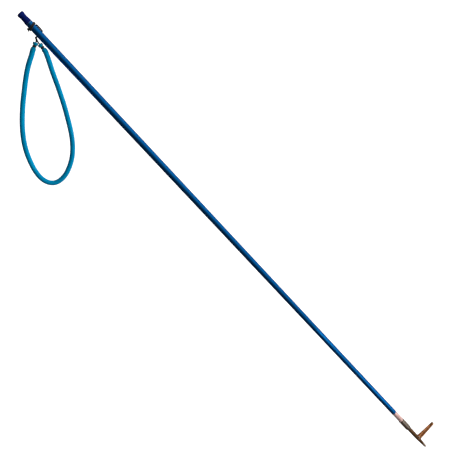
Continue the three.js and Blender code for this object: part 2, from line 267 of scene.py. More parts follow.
def sweep(name, path, radius, segs, step, closed=False, shape=None, bore=None):
    """A tube along a path. radius is a number or a function of distance, bore such a function.

    shape(angle, distance, length) scales the outer radius. Open solid tubes get rounded ends.
    """
    points, s, length = even(np.asarray(path, float), step, closed)
    normals, binormals = cross_axes(points, closed)
    angles = circle(segs)
    rings = len(s)

    def ring_points(radii):
        off = (normals[:, None, :] * np.cos(angles)[None, :, None]
               + binormals[:, None, :] * np.sin(angles)[None, :, None])
        return points[:, None, :] + off * radii[:, :, None]

    base = radius(s) if callable(radius) else np.full(rings, float(radius))
    radii = np.repeat(base[:, None], segs, 1)
    if shape is not None:
        radii = radii * shape(angles[None, :], s[:, None], length)
    if not closed and bore is None:
        k = np.clip(np.minimum(s, length - s) / (base * 0.9), 0, 1)
        radii = radii * np.sqrt(np.clip(1 - (1 - k) ** 2, 0.02, 1))[:, None]
    verts = ring_points(radii)
    if bore is not None:
        inner = ring_points(np.repeat(bore(s)[:, None], segs, 1))[::-1]
        verts = np.concatenate([verts, inner])
        faces, uv = grid(np.concatenate([s, s[::-1], s[:1]]), 2 * rings, segs)
    else:
        faces, uv = grid(np.r_[s, length] if closed else s, rings, segs)
    verts = verts.reshape(-1, 3)
    if bore is None and not closed:
        verts = np.vstack([verts, points[0], points[-1]])
        cap_ends(faces, uv, rings, segs, u_span=1, v_last=length)
    return solid(name, verts, faces, uv)


def apply_modifiers(ob):
    dg = bpy.context.evaluated_depsgraph_get()
    me = bpy.data.meshes.new_from_object(ob.evaluated_get(dg))
    ob.modifiers.clear()
    ob.data = me


def boolean(ob, tool, operation="DIFFERENCE"):
    m = ob.modifiers.new("b", "BOOLEAN")
    m.operation, m.object, m.solver = operation, tool, "EXACT"
    bpy.context.view_layer.update()
    apply_modifiers(ob)
    bpy.data.objects.remove(tool)


def bevel(ob, width, angle, sharp):
    m = ob.modifiers.new("v", "BEVEL")
    m.width, m.segments = width * MM, 2
    m.limit_method, m.angle_limit = "ANGLE", math.radians(angle)
    m.harden_normals = False
    apply_modifiers(ob)
    smooth(ob.data, sharp)


def place(ob, degrees, axis, x=0.0):
    """Turns the mesh about an axis through the origin, then moves it along X."""
    turn = Matrix.Rotation(math.radians(degrees), 4, axis)
    ob.data.transform(Matrix.Translation((x * MM, 0, 0)) @ turn)


def merge(name, *objects):
    """One object from several, each a closed mesh."""
    bm = bmesh.new()
    for ob in objects:
        bm.from_mesh(ob.data)
    me = bpy.data.meshes.new(name)
    bm.to_mesh(me)
    bm.free()
    for ob in objects:
        bpy.data.objects.remove(ob)
    smooth(me)
    return link(name, me)


# ------------------------------------------------------------------ shader helper


def srgb(r, g, b):
    """Linear RGBA from 0-255 sRGB."""
    def linear(c):
        return (c / 255) / 12.92 if c <= 10 else ((c / 255 + 0.055) / 1.055) ** 2.4
    return (linear(r), linear(g), linear(b), 1)


class Mat:
    """A Principled material. Colours are 0-255 sRGB; scales are per metre, one or one per axis."""

    def __init__(self, name):
        self.material = bpy.data.materials.new(name)
        self.material.use_nodes = True
        self.tree = self.material.node_tree
        self.bsdf = self.tree.nodes["Principled BSDF"]
        self.position = self.node("ShaderNodeTexCoord").outputs["Object"]
        self.normal = None

    def node(self, kind, inputs=(), **props):
        """A node with its properties and the inputs of the dict set."""
        node = self.tree.nodes.new(kind)
        for key, value in props.items():
            setattr(node, key, value)
        for key, value in dict(inputs).items():
            self.set(node.inputs[key], value)
        return node

    def set(self, socket, value):
        if isinstance(value, bpy.types.NodeSocket):
            self.tree.links.new(value, socket)
        else:
            socket.default_value = value

    def scaled(self, scale, source=None):
        scale = scale if isinstance(scale, tuple) else (scale,) * 3
        inputs = {"Vector": source or self.position, "Scale": scale}
        return self.node("ShaderNodeMapping", inputs).outputs["Vector"]

    def noise(self, scale, detail=3, rough=0.5, source=None):
        return self.node("ShaderNodeTexNoise", {
            "Vector": self.scaled(scale, source), "Scale": 1,
            "Detail": detail, "Roughness": rough}).outputs["Fac"]

    def range(self, value, span, out=(0, 1)):
        """Smooth step of value over span, mapped to out."""
        return self.node("ShaderNodeMapRange", {
            "Value": value, "From Min": span[0], "From Max": span[1],
            "To Min": out[0], "To Max": out[1]}, interpolation_type="SMOOTHSTEP").outputs["Result"]

    def patches(self, scale, span, out=(0, 1), detail=3, rough=0.5):
        """Noise put through a smooth step: patches, specks or scratches, as the scale has it."""
        return self.range(self.noise(scale, detail, rough), span, out)

    def math(self, op, a, b=0):
        return self.node("ShaderNodeMath", {0: a, 1: b, 2: 0}, operation=op).outputs[0]

    def mix(self, fac, a, b):
        a, b = (c if isinstance(c, bpy.types.NodeSocket) else srgb(*c) for c in (a, b))
        inputs = {"Factor": fac, 6: a, 7: b}
        return self.node("ShaderNodeMix", inputs, data_type="RGBA").outputs[2]

    def over(self, base, color, mask, amount):
        """Lays a colour over the base where the mask is, at most by amount."""
        return self.mix(self.math("MULTIPLY", mask, amount), base, color)

    def xyz(self):
        return self.node("ShaderNodeSeparateXYZ", {0: self.position}).outputs

    def radius(self):
        """Distance from the pole's axis, in metres."""
        _, y, z = self.xyz()
        squares = self.math("ADD", self.math("MULTIPLY", y, y), self.math("MULTIPLY", z, z))
        return self.math("SQRT", squares)

    def uv(self):
        return self.node("ShaderNodeUVMap", uv_map="sweep").outputs["UV"]

    def bump(self, height, distance, strength):
        """Adds relief on top of the earlier bumps."""
        inputs = {"Height": height, "Distance": distance, "Strength": strength}
        if self.normal is not None:
            inputs["Normal"] = self.normal
        self.normal = self.node("ShaderNodeBump", inputs).outputs["Normal"]

    def finish(self, color, rough, **others):
        """Sets the shader's inputs; an underscore in a name stands for a space."""
        inputs = {"Base Color": color, "Roughness": rough, "Normal": self.normal}
        inputs.update({key.replace("_", " "): value for key, value in others.items()})
        for key, value in inputs.items():
            self.set(self.bsdf.inputs[key], value)
        return self.material


# ------------------------------------------------------------------ materials


def anodised_blue():
    m = Mat("anodised_blue")
    mottle = m.patches((70, 260, 260), span=(0.35, 0.7), detail=4)
    scratches = m.patches((18, 2600, 2600), span=(0.62, 0.75), detail=2, rough=0.6)
    rub = m.patches((35, 500, 500), span=(0.60, 0.74), detail=5, rough=0.65)
    x = m.xyz()[0]
    # a little bare metal where each end of the tube is cut
    cut_ends = m.math("MAXIMUM", m.range(x, span=(0.0234, 0.0227)),
                      m.range(x, span=(1.3372, 1.3379)))
    base = m.mix(m.noise((9, 60, 60)), (3, 111, 190), (5, 125, 208))
    base = m.over(base, (8, 80, 158), mottle, amount=0.22)
    base = m.over(base, (60, 158, 222), scratches, amount=0.28)
    base = m.over(base, (80, 168, 226), rub, amount=0.10)
    base = m.over(base, (215, 224, 232), cut_ends, amount=0.75)
    rough = m.math("ADD", m.patches((40, 900, 900), span=(0.3, 0.8), out=(0.24, 0.36), detail=4),
                   m.math("MULTIPLY", scratches, 0.12))
    m.bump(m.noise((25, 3800, 3800), detail=2), distance=0.00002, strength=0.35)
    m.bump(scratches, distance=0.00003, strength=-0.3)
    return m.finish(base, rough, Metallic=1, Specular_Tint=srgb(60, 140, 200),
                    Coat_Weight=0.1, Coat_Roughness=0.2)


def navy_rubber():
    m = Mat("navy_rubber")
    # scuffs on the widest parts, and thin dust
    scuffs = m.math("MULTIPLY", m.range(m.radius(), span=(0.0064, 0.0070)),
                    m.patches(900, span=(0.45, 0.7), detail=5, rough=0.7))
    dust = m.patches(420, span=(0.55, 0.8), detail=5, rough=0.7)
    base = m.mix(m.noise(140, detail=4), (2, 22, 92), (8, 34, 118))
    base = m.over(base, (44, 60, 122), scuffs, amount=0.35)
    base = m.over(base, (34, 50, 108), dust, amount=0.12)
    grain = m.node("ShaderNodeTexVoronoi", {"Vector": m.scaled(1), "Scale": 1500}, feature="F1")
    m.bump(m.noise(2400, detail=4, rough=0.6), distance=0.00005, strength=0.5)
    m.bump(grain.outputs["Distance"], distance=0.00002, strength=0.3)
    return m.finish(base, m.patches(500, span=(0.3, 0.7), out=(0.46, 0.62), detail=4),
                    Specular_IOR_Level=0.12, IOR=1.35)


def black_cord():
    m = Mat("black_cord")
    strands = m.node("ShaderNodeTexWave",
                     {"Vector": m.scaled((9, 4.5, 1), m.uv()), "Scale": 1, "Distortion": 1.2},
                     wave_type="BANDS", bands_direction="DIAGONAL").outputs["Fac"]
    flecks = m.patches(3500, span=(0.6, 0.75), detail=2)
    base = m.mix(m.noise(900), (24, 25, 27), (40, 41, 44))
    base = m.over(base, (70, 72, 74), flecks, amount=0.35)
    base = m.over(base, (12, 12, 13), strands, amount=0.25)
    m.bump(strands, distance=0.00006, strength=0.55)
    m.bump(m.noise(5200, detail=2), distance=0.00003, strength=0.4)
    return m.finish(base, m.patches(1200, span=(0.3, 0.7), out=(0.62, 0.82), detail=2),
                    Sheen_Weight=0.3, Sheen_Roughness=0.4)


def teal_latex():
    m = Mat("teal_latex")
    lines = m.noise((46, 0.06, 1), rough=0.6, source=m.uv())
    bloom = m.patches(210, span=(0.52, 0.75), detail=5, rough=0.65)
    # painted shade: darker round each gathered neck of the band beside the pole, by distance in the
    # XY plane
    x, y, _ = m.xyz()
    dx, dy = m.math("SUBTRACT", x, 0.058), m.math("SUBTRACT", y, -0.014)
    away = m.math("SQRT", m.math("ADD", m.math("POWER", dx, 2), m.math("POWER", dy, 2)))
    painted_neck_shade = m.range(away, span=(0.026, 0.008))
    base = m.mix(m.patches(26, span=(0.35, 0.65)), (0, 154, 206), (0, 166, 218))
    base = m.over(base, (0, 124, 172), m.range(lines, span=(0.45, 0.7)), amount=0.25)
    base = m.over(base, (0, 172, 218), bloom, amount=0.12)
    # painted shade laid round each gathered neck
    base = m.over(base, (0, 108, 118), painted_neck_shade, amount=0.45)
    m.bump(lines, distance=0.00009, strength=0.5)
    m.bump(m.noise(1400), distance=0.00003, strength=0.45)
    return m.finish(base, m.patches(320, span=(0.3, 0.75), out=(0.28, 0.46), detail=4),
                    Subsurface_Weight=0.1, Subsurface_Scale=0.0015,
                    Subsurface_Radius=(0.3, 0.8, 1.0), Specular_IOR_Level=0.10, IOR=1.28)


def black_seal():
    m = Mat("seal_rubber")
    m.bump(m.noise(3000), distance=0.00003, strength=0.5)
    return m.finish(m.mix(m.noise(700), (14, 14, 15), (30, 30, 31)),
                    m.patches(900, span=(0.3, 0.7), out=(0.5, 0.68)))


def turned_metal(name, base, stain, rough, tint=(255, 255, 255), rings=1, metal=1,
                 edge=None, shade=None):
    """Lathe-turned metal: fine rings about X and stains.

    edge is (span of radius in metres, colour) of worn edges; shade is (amount, colour) of the
    darker -Y side.
    """
    m = Mat(name)
    wide = m.noise((420, 3, 3))
    stains = m.patches(380, span=(0.5, 0.75), detail=5, rough=0.65)
    color = m.mix(m.patches(90, span=(0.3, 0.7), detail=4), *base)
    color = m.over(color, stain, stains, amount=0.45)
    if edge is not None:
        span, edge_color = edge
        worn = m.math("MULTIPLY", m.range(m.radius(), span),
                      m.patches(1400, span=(0.3, 0.6), detail=4))
        color = m.over(color, edge_color, worn, amount=0.8)
    if shade is not None:
        amount, shade_color = shade
        color = m.over(color, shade_color, m.range(m.xyz()[1], span=(0.0015, -0.0025)), amount)
    roughness = m.math("ADD", m.patches(500, span=(0.3, 0.7), out=rough, detail=4),
                       m.math("MULTIPLY", m.range(wide, span=(0.4, 0.6)), 0.05))
    m.bump(m.noise((9000, 12, 12), detail=2), distance=0.00002, strength=0.5 * rings)
    m.bump(wide, distance=0.00005, strength=0.35 * rings)
    m.bump(m.patches(2600, span=(0.6, 0.75)), distance=0.00003, strength=-0.4)
    return m.finish(color, roughness, Metallic=metal, Specular_Tint=srgb(*tint))


def bronzed_steel():
    m = Mat("bronzed_steel")
    oxide = m.patches(420, span=(0.48, 0.72), detail=6, rough=0.68)
    pits = m.patches(1500, span=(0.66, 0.74))
    # painted highlight: lighter towards the tip along the taper of the point
    point = m.range(m.xyz()[0], span=(1.484, 1.509))
    turned = m.noise((5200, 20, 20), detail=2)
    scratches = m.patches((150, 2800, 2800), span=(0.66, 0.76), detail=2)
    base = m.mix(m.patches(110, span=(0.35, 0.65), detail=4), (112, 81, 54), (131, 98, 68))
    base = m.over(base, (88, 58, 36), oxide, amount=0.45)
    base = m.over(base, (56, 38, 26), pits, amount=0.6)
    # painted highlight towards the tip
    base = m.over(base, (228, 202, 180), point, amount=0.9)
    base = m.over(base, (196, 162, 130), m.range(turned, span=(0.45, 0.65)), amount=0.12)
    base = m.over(base, (206, 176, 146), scratches, amount=0.3)
    rough = m.math("ADD", m.patches(600, span=(0.3, 0.7), out=(0.28, 0.42), detail=4),
                   m.math("MULTIPLY", pits, 0.15))
    m.bump(turned, distance=0.00002, strength=0.5)
    m.bump(pits, distance=0.00005, strength=-0.6)
    m.bump(m.noise(900), distance=0.00004, strength=0.3)
    return m.finish(base, rough, Metallic=0.85, Specular_Tint=srgb(150, 116, 90))


def barb_bronze():
    m = Mat("barb_bronze")
    oxide = m.patches(480, span=(0.5, 0.74), detail=6, rough=0.68)
    pits = m.patches(1700, span=(0.67, 0.75))
    # darker near the pivot, and a painted highlight at the free end
    y = m.xyz()[1]
    root = m.range(y, span=(0.012, 0.003))
    painted_end_highlight = m.range(y, span=(0.0575, 0.0592))
    scratches = m.patches((2800, 130, 2800), span=(0.64, 0.75), detail=2)
    base = m.mix(m.patches(130, span=(0.35, 0.65), detail=4), (208, 142, 92), (224, 160, 108))
    base = m.over(base, (158, 96, 54), oxide, amount=0.35)
    base = m.over(base, (96, 56, 32), pits, amount=0.5)
    base = m.over(base, (126, 86, 58), root, amount=0.45)
    # painted highlight on the slanted free end
    base = m.over(base, (250, 222, 194), painted_end_highlight, amount=0.85)
    base = m.over(base, (244, 204, 162), scratches, amount=0.3)
    rough = m.math("ADD", m.patches(700, span=(0.3, 0.7), out=(0.28, 0.42), detail=4),
                   m.math("MULTIPLY", pits, 0.15))
    m.bump(m.noise((3600, 60, 3600), detail=2), distance=0.00002, strength=0.4)
    m.bump(pits, distance=0.00005, strength=-0.6)
    m.bump(m.noise(900), distance=0.00005, strength=0.35)
    return m.finish(base, rough, Metallic=0.75, Specular_Tint=srgb(190, 130, 90))


BLUE = anodised_blue()
NAVY = navy_rubber()
CORD = black_cord()
TEAL = teal_latex()
SEAL = black_seal()
FERRULE = turned_metal("pink_silver", base=((228, 188, 180), (240, 202, 195)),
                       stain=(204, 150, 140), rough=(0.30, 0.42), tint=(215, 170, 162), metal=0.6)
COUPLING = turned_metal("grey_brown_steel", base=((124, 112, 101), (143, 130, 118)),
                        stain=(100, 74, 54), rough=(0.30, 0.42), tint=(110, 84, 70), rings=0.7,
                        metal=0.7, edge=((0.0078, 0.0086), (196, 186, 176)),
                        shade=(0.7, (84, 62, 46)))
STUD = turned_metal("plain_steel", base=((176, 174, 170), (194, 192, 188)),
                    stain=(120, 110, 100), rough=(0.25, 0.38))
RIVET = turned_metal("rivet_steel", base=((150, 130, 112), (176, 156, 138)),
                     stain=(92, 66, 48), rough=(0.3, 0.45), rings=0.3)
SHAFT = bronzed_steel()
BARB = barb_bronze()


def dress(ob, material, slot, *nodes, body=None):
    """Gives a piece its material, hides the CAD nodes it replaces and sets the body it rides; slot
    is not used.
    """
    ob.data.materials.clear()
    ob.data.materials.append(material)
    if nodes:
        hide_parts(*nodes)
    if body is not None:
        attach(ob, body)


# ------------------------------------------------------------------ pole and plug


def build_pole():
    corners = [(TUBE_X0, BORE_R), (TUBE_X0, POLE_R), (TUBE_X1, POLE_R), (TUBE_X1, BORE_R)]
    edge = rounded(corners, 0.28)
    # stations along the tube, closer round the cross-hole, so that no lathe row is very long
    outside_x = [*np.arange(40.0, 62.0, 2.0), *np.arange(80.0, 1320.0, 30.0)]
    inside_x = [*np.arange(1300.0, 60.0, -60.0), *np.arange(60.0, 38.0, -2.0)]
    profile = []
    for p, q in zip(edge[:-1], edge[1:]):
        profile.append(p)
        if q[0] - p[0] > 100:
            profile += [(x, POLE_R) for x in outside_x]
    profile.append(edge[-1])
    profile += [(x, BORE_R) for x in inside_x]
    pole = lathe("Pole_Tube_Anodised", profile, sharp=35, wall=True)
    # the cross-hole, flared where it meets the outside
    hole = lathe("hole_tool", [(-9, 0), (-9, 2.6), (-7.0, 2.5), (-6.55, 2.2), (6.55, 2.2),
                               (7.0, 2.5), (9, 2.6), (9, 0)], segs=40)
    place(hole, 90, "Z", HOLE_X)
    boolean(pole, hole)
    smooth(pole.data, 30)
    dress(pole, BLUE, "pole_blue", "pole_tube", body="pole")


# (x, r): end face with a small groove, waisted outside, stem in the tube
PLUG_END = [(0.0, 0.0), (0.0, 1.1), (0.18, 1.35), (0.18, 1.75), (0.0, 2.0)]
PLUG_OUTSIDE = [
    (0.0, 4.0), (0.12, 4.6), (0.55, 5.7), (1.4, 6.6), (2.5, 7.03), (3.7, 7.1), (4.6, 6.94),
    (5.4, 6.68), (7.7, 6.35), (11.7, 6.28), (15.4, 6.45), (18.5, 6.85), (20.2, 7.14), (21.3, 7.2)]
PLUG_STEM = [(21.9, 7.17), (22.2, 7.0), (22.3, 6.7), (22.3, 5.6), (28.5, 5.6), (29.5, 5.8),
             (30.9, 5.6), (39.5, 5.6), (41.0, 4.6), (41.0, 0)]


def build_plug():
    outside = [tuple(p) for p in spline(PLUG_OUTSIDE, 5)]
    plug = lathe("Butt_Plug_Rubber", refine(PLUG_END + outside + PLUG_STEM, 1.0), sharp=38)
    # the mould's parting line, a fine ridge along the +Z and -Z sides (metres and radians)
    ridge_height, ridge_width, r_min, x_max = 0.00012, 0.035, 0.003, 0.0220
    verts = plug.data.vertices
    co = np.zeros(len(verts) * 3)
    verts.foreach_get("co", co)
    co = co.reshape(-1, 3)
    r = np.hypot(co[:, 1], co[:, 2])
    angle = np.abs(np.arctan2(co[:, 1], co[:, 2]))
    ridge = np.exp(-(np.minimum(angle, np.pi - angle) / ridge_width) ** 2) * ridge_height
    ridge = ridge * (r > r_min) * (co[:, 0] < x_max)
    co[:, 1:] *= (1 + ridge / np.maximum(r, 1e-6))[:, None]
    verts.foreach_set("co", co.ravel())
    plug.data.update()
    dress(plug, NAVY, "plug_navy", "butt_plug", body="pole")


# ------------------------------------------------------------------ cords


def braid(pitch, depth=0.06):
    """Relief of a cord braided with four bumps round."""
    def shape(angle, s, length):
        return 1 + depth * (np.cos(4 * angle) * np.cos(2 * np.pi * s / pitch) * 1.2 - 0.2)
    return shape


def trefoil(centre, scale, tilt):
    """A closed trefoil knot; tilt is in degrees about X, Y and Z."""
    t = circle(140)
    p = np.stack([np.sin(t) + 2 * np.sin(2 * t), np.cos(t) - 2 * np.cos(2 * t),
                  -1.15 * np.sin(3 * t)], 1) / 3.0
    turn_x, turn_y, turn_z = (Matrix.Rotation(math.radians(angle), 3, axis)
                              for angle, axis in zip(tilt, "XYZ"))
    turn = np.array(turn_x @ turn_y @ turn_z)
    return (p * np.array(scale)) @ turn.T + np.array(centre)


# (x, y, z) from the lashing along the +Y side and through the cross-hole
CORD_LEAD = [
    [34.9, 8.25, -1.9], [36.8, 8.43, -0.7], [40.5, 8.47, 0.0], [44.6, 8.45, 0.05],
    [47.8, 8.25, 0.0], [49.5, 7.4, 0.0], [50.0, 5.9, 0.0], [50.0, 2.0, 0.0],
    [50.0, -3.0, 0.0], [50.0, -8.0, 0.0]]
WRAP_KNOT_TAIL = [[31.2, -9.4, 0.4], [32.1, -10.4, 0.0], [32.9, -11.4, -0.9], [33.2, -12.2, -1.6]]


def build_tether_cord():
    """Two turns and more round the pole from the -Y side, then on to the cross-hole."""
    wrap_r, slant, pitch, first_x = POLE_R + 1.2, math.tan(math.radians(9)), 2.5, 28.35
    angle = np.linspace(math.pi * 0.98, math.pi * 5.62, 130)
    x = first_x + pitch * (angle - math.pi) / (2 * math.pi)
    helix = np.stack([x - slant * wrap_r * np.cos(angle), wrap_r * np.cos(angle),
                      wrap_r * np.sin(angle)], 1)
    path = np.vstack([helix, spline(np.vstack([helix[-1], CORD_LEAD]), 14)[3:]])
    # the lashing is pulled thin; past it the cord grows to its full radius
    lashed_r, lashed_length, growth = 1.24, 112, 8
    cord = sweep("Tether_Cord_Braided", path,
                 lambda s: lashed_r + (CORD_R - lashed_r)
                 * np.clip((s - lashed_length) / growth, 0, 1),
                 segs=28, step=0.22, shape=braid(1.8))
    dress(cord, CORD, "cord_black", "cord_wrap", "tether_cord", body="pole")


def build_wrap_knot():
    def flared(angle, s, length):
        return braid(1.7)(angle, s, length) * (1 + 0.12 * np.clip((s - length + 1.0), 0, 1))

    knot = sweep("knot", trefoil((30.9, -9.0, 0.5), scale=(2.1, 1.75, 1.8), tilt=(80, 15, 20)),
                 0.98, segs=20, step=0.24, closed=True, shape=braid(1.6))
    tail = sweep("tail", spline(WRAP_KNOT_TAIL, 10), 1.05, segs=20, step=0.22, shape=flared)
    dress(merge("Wrap_Knot", knot, tail), CORD, "cord_black", body="pole")


def build_bridle_knot():
    path = trefoil((HOLE_X, -9.05, 0.0), scale=(1.95, 1.85, 1.6), tilt=(0, 70, 10))
    knot = sweep("Bridle_Knot", path, 0.95, segs=20, step=0.22, closed=True, shape=braid(1.6))
    dress(knot, CORD, "cord_black", "bridle_cord", body="bridle")


def unit(vector):
    vector = np.array(vector)
    return vector / np.linalg.norm(vector)


# mouths of the sling band, the directions in which its ends run on, and the cords up to them
SIDES = ("left", "right")
MOUTH = {"left": np.array([56.0, -15.6, -0.6]), "right": np.array([62.6, -12.75, -0.6])}
INWARD = {"left": unit([0.41, -0.912, 0.0]), "right": unit([0.996, -0.089, 0.0])}
LEGS = {
    "left": [[50.2, -9.2, 0], [51.9, -10.8, 0.1], [53.9, -12.3, -0.3], [55.5, -14.0, -0.6]],
    "right": [[50.3, -9.1, 0], [53.6, -10.5, 0.25], [58.0, -12.2, -0.3], [61.4, -12.65, -0.6]],
}


def build_bridle_leg(side, mouth, inward):
    """The cord from the bridle knot into a mouth of the band."""
    points = LEGS[side] + [list(mouth + inward * depth) for depth in (0.3, 3.0, 5.0)]
    leg = sweep(f"Bridle_Leg_{side}", spline(points, 12), CORD_R, segs=24, step=0.2,
                shape=braid(1.8))
    dress(leg, CORD, "cord_black")
    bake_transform(leg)


def build_stopper_knot(side, mouth, inward):
    """The end of the cord inside the band, with its knot."""
    cord = sweep("cord", np.array([mouth + inward * 4.2, mouth + inward * 11.4]), CORD_R,
                 segs=20, step=0.3, shape=braid(1.8, 0.05))
    path = trefoil(mouth + inward * 12.6, scale=(0.95, 0.95, 0.8), tilt=(0, 90, 0))
    knot = sweep("knot", path, 0.8, segs=16, step=0.25, closed=True)
    stopper = merge(f"Stopper_Knot_{side}", cord, knot)
    dress(stopper, CORD, "cord_black", f"stopper_knot_{side}", body="sling_head")


def build_ligature(side, mouth, inward):
    """Thin line wound round the neck of the band, with a small knot."""
    turns, pitch = 4.6, 0.64
    t = np.linspace(0, 2 * math.pi * turns, 260)
    up = np.array([0, 0, 1.0])
    across = np.cross(up, inward)
    radius = 3.42 + 0.1 * np.sin(t * 0.9 + 0.5)
    along = LIGATURE_AT + (t / (2 * math.pi) - turns / 2) * pitch
    path = (mouth + np.outer(along, inward) + np.outer(radius * np.cos(t), across)
            + np.outer(radius * np.sin(t), up))
    line = sweep("line", path, 0.36, segs=12, step=0.25,
                 shape=lambda angle, s, length: 1 + 0.08 * np.cos(3 * angle + 9 * s))
    centre = mouth + inward * LIGATURE_AT + across * 3.75 + up * 0.9
    knot = sweep("knot", trefoil(centre, scale=(0.62, 0.62, 0.6), tilt=(20, 60, 0)), 0.33,
                 segs=12, step=0.2, closed=True)
    ligature = merge(f"Ligature_{side}", line, knot)
    dress(ligature, CORD, "cord_black", f"ligature_{side}", body="sling_head")


# ------------------------------------------------------------------ sling tubing

# (x, y) of the middle of the band, from the left neck round to the right one
LOOP = [
    (67.1, -37.8), (72.9, -49.6), (80.2, -62.4), (93.3, -81.2), (107.0, -99.2), (121.3, -117.2),
    (136.5, -134.5), (152.9, -151.1), (170.8, -166.2), (190.7, -179.2), (212.2, -189.2),
    (227.3, -194.3), (243.1, -197.2), (251.1, -197.1), (259.0, -195.3), (266.1, -191.9),
    (271.9, -186.8), (275.4, -179.6), (276.8, -171.5), (276.4, -163.4), (275.0, -155.3),
    (272.3, -147.5), (269.0, -139.9), (261.0, -125.8), (250.6, -112.9), (238.9, -101.8),
    (226.4, -91.9), (213.0, -83.1), (199.6, -75.0), (179.4, -63.3), (159.1, -52.7),
    (138.9, -42.8), (118.7, -33.5), (105.9, -27.1), (93.1, -20.4), (84.6, -16.6)]
# (distance from the nearer mouth, radius) of the outside and of the bore
BAND_OUTSIDE = np.array([
    (0, 4.25), (0.35, 4.62), (1.4, 4.97), (2.6, 5.1), (3.8, 5.0), (4.8, 4.55), (5.7, 3.6),
    (6.3, 2.9), (7.0, 2.76), (9.0, 2.76), (9.7, 2.9), (10.3, 3.6), (11.2, 4.55), (12.4, 5.02),
    (13.6, 5.1), (400, 5.1)])
BAND_BORE = np.array([(0, 1.85), (4.6, 1.8), (6.6, 1.62), (9.2, 1.62), (11.0, 2.4), (400, 2.4)])
# straight tails at the mouths, as distances along them
BAND_TAIL = (0, 5, 10, 14.6, 16.6)


def loop_z(x, y):
    """Height of the band: it sinks smoothly between 27 and 77 from the bridle knot."""
    near_z, far_z = -0.6, -3.1
    t = min(1.0, max(0.0, (math.hypot(x - HOLE_X, y + 8.95) - 27) / 50))
    return near_z + (far_z - near_z) * t * t * (3 - 2 * t)


def band_path():
    start = [MOUTH["left"] + INWARD["left"] * s for s in BAND_TAIL]
    finish = [MOUTH["right"] + INWARD["right"] * s for s in reversed(BAND_TAIL)]
    middle = [np.array([x, y, loop_z(x, y)]) for x, y in LOOP]
    path, s, length = even(spline(start + middle + finish, 16), 1.0)
    # the curve is smoothed a little away from its straight tails
    reach, sigma = 15, 5.0
    kernel = np.exp(-0.5 * (np.arange(-reach, reach + 1) / sigma) ** 2)
    kernel /= kernel.sum()
    padded = np.vstack([np.repeat(path[:1], reach, 0), path, np.repeat(path[-1:], reach, 0)])
    smoothed = np.stack([np.convolve(padded[:, k], kernel, "valid") for k in range(3)], 1)
    weight = np.clip((np.minimum(s, length - s) - 17) / 18, 0, 1)[:, None]
    return path * (1 - weight) + smoothed * weight


def from_mouth(table):
    """A function of distance along the band, looked up from whichever mouth is nearer."""
    return lambda s: np.interp(np.minimum(s, s[-1] - s), table[:, 0], table[:, 1])


def band_shape(angle, s, length):
    mouth = np.minimum(s, length - s)
    near = np.exp(-((mouth - LIGATURE_AT) / 3.0) ** 2)
    pleats = 1 + 0.035 * near * np.cos(9 * angle + 0.6 * np.sin(mouth))
    # dents and slight ovality that soft tubing takes
    soft = 1 + 0.006 * np.sin(s / 17.0 + 2 * angle) + 0.004 * np.cos(s / 7.3 - 3 * angle)
    return pleats * soft


def build_band():
    band = sweep("Sling_Band_Tubing", band_path(), from_mouth(BAND_OUTSIDE), segs=44, step=0.8,
                 shape=band_shape, bore=from_mouth(BAND_BORE))
    dress(band, TEAL, "band_teal", "sling_band")
    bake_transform(band)


# ------------------------------------------------------------------ ferrule, seal, stud

# (x, r): stem in the tube, flange, barrel, end collar, then the bore back to the axis
FERRULE_PROFILE = [
    (1312, 0), (1312, 5.0), (1313, 5.7), (1338.3, 5.7), (1338.3, 6.8), (1338.55, 7.0),
    (1341.0, 7.0), (1341.6, 6.7), (1342.3, 6.45), (1343.0, 6.6), (1370.0, 6.6), (1370.7, 6.42),
    (1371.4, 6.68), (1372.2, 6.73), (1372.8, 7.0), (1375.1, 7.0), (1375.4, 6.75), (1375.4, 4.4),
    (1374.6, 3.82), (1361.2, 3.82), (1359.8, 0)]


def build_ferrule():
    profile = refine(rounded(FERRULE_PROFILE, 0.18, 3), 1.5)
    ferrule = lathe("Front_Ferrule_Turned", profile, sharp=30)
    dress(ferrule, FERRULE, "ferrule_silver", "front_ferrule", body="pole")


def build_seal():
    section = [(1376.35 + 0.64 * math.cos(angle), 5.6 + 0.84 * math.sin(angle))
               for angle in circle(20)]
    seal = lathe("Seal_Ring", section, segs=80, sharp=60, wall=True)
    dress(seal, SEAL, "seal_black", "seal_ring", body="seal")


def build_stud():
    """A threaded stud about X, plain where it crosses from the ferrule to the coupling."""
    x0, x1, minor, major, pitch = 1362.6, 1388.7, 3.12, 3.7, 1.411
    fade_length, taper_length, taper = 1.0, 0.6, 0.12
    segs, step = 40, 0.14
    xs = np.arange(x0, x1 + 1e-6, step)
    angles = circle(segs)
    phase = (xs[:, None] / pitch - angles[None, :] / (2 * math.pi)) % 1.0
    ridge = np.clip(1.35 - np.abs(phase - 0.5) * 3.1, 0, 1)
    to_end = np.minimum(xs - x0, x1 - xs)
    radii = minor + (major - minor) * ridge * np.clip(to_end / fade_length, 0, 1)[:, None]
    radii *= 1 - taper * (1 - np.clip(to_end / taper_length, 0, 1))[:, None]
    radii[(xs > 1375.1) & (xs < 1378.5)] = minor
    verts = np.stack([np.repeat(xs[:, None], segs, 1), radii * np.cos(angles),
                      radii * np.sin(angles)], 2).reshape(-1, 3)
    verts = np.vstack([verts, [xs[0], 0, 0], [xs[-1], 0, 0]])
    faces, uv = grid(xs[0] + np.arange(len(xs)) * step, len(xs), segs)
    cap_ends(faces, uv, len(xs), segs, u_span=0, v_last=0)
    stud = solid("Threaded_Stud", verts, faces, uv, sharp=40)
    dress(stud, STUD, "stud_steel", "threaded_stud", body="head")


# ------------------------------------------------------------------ hex coupling


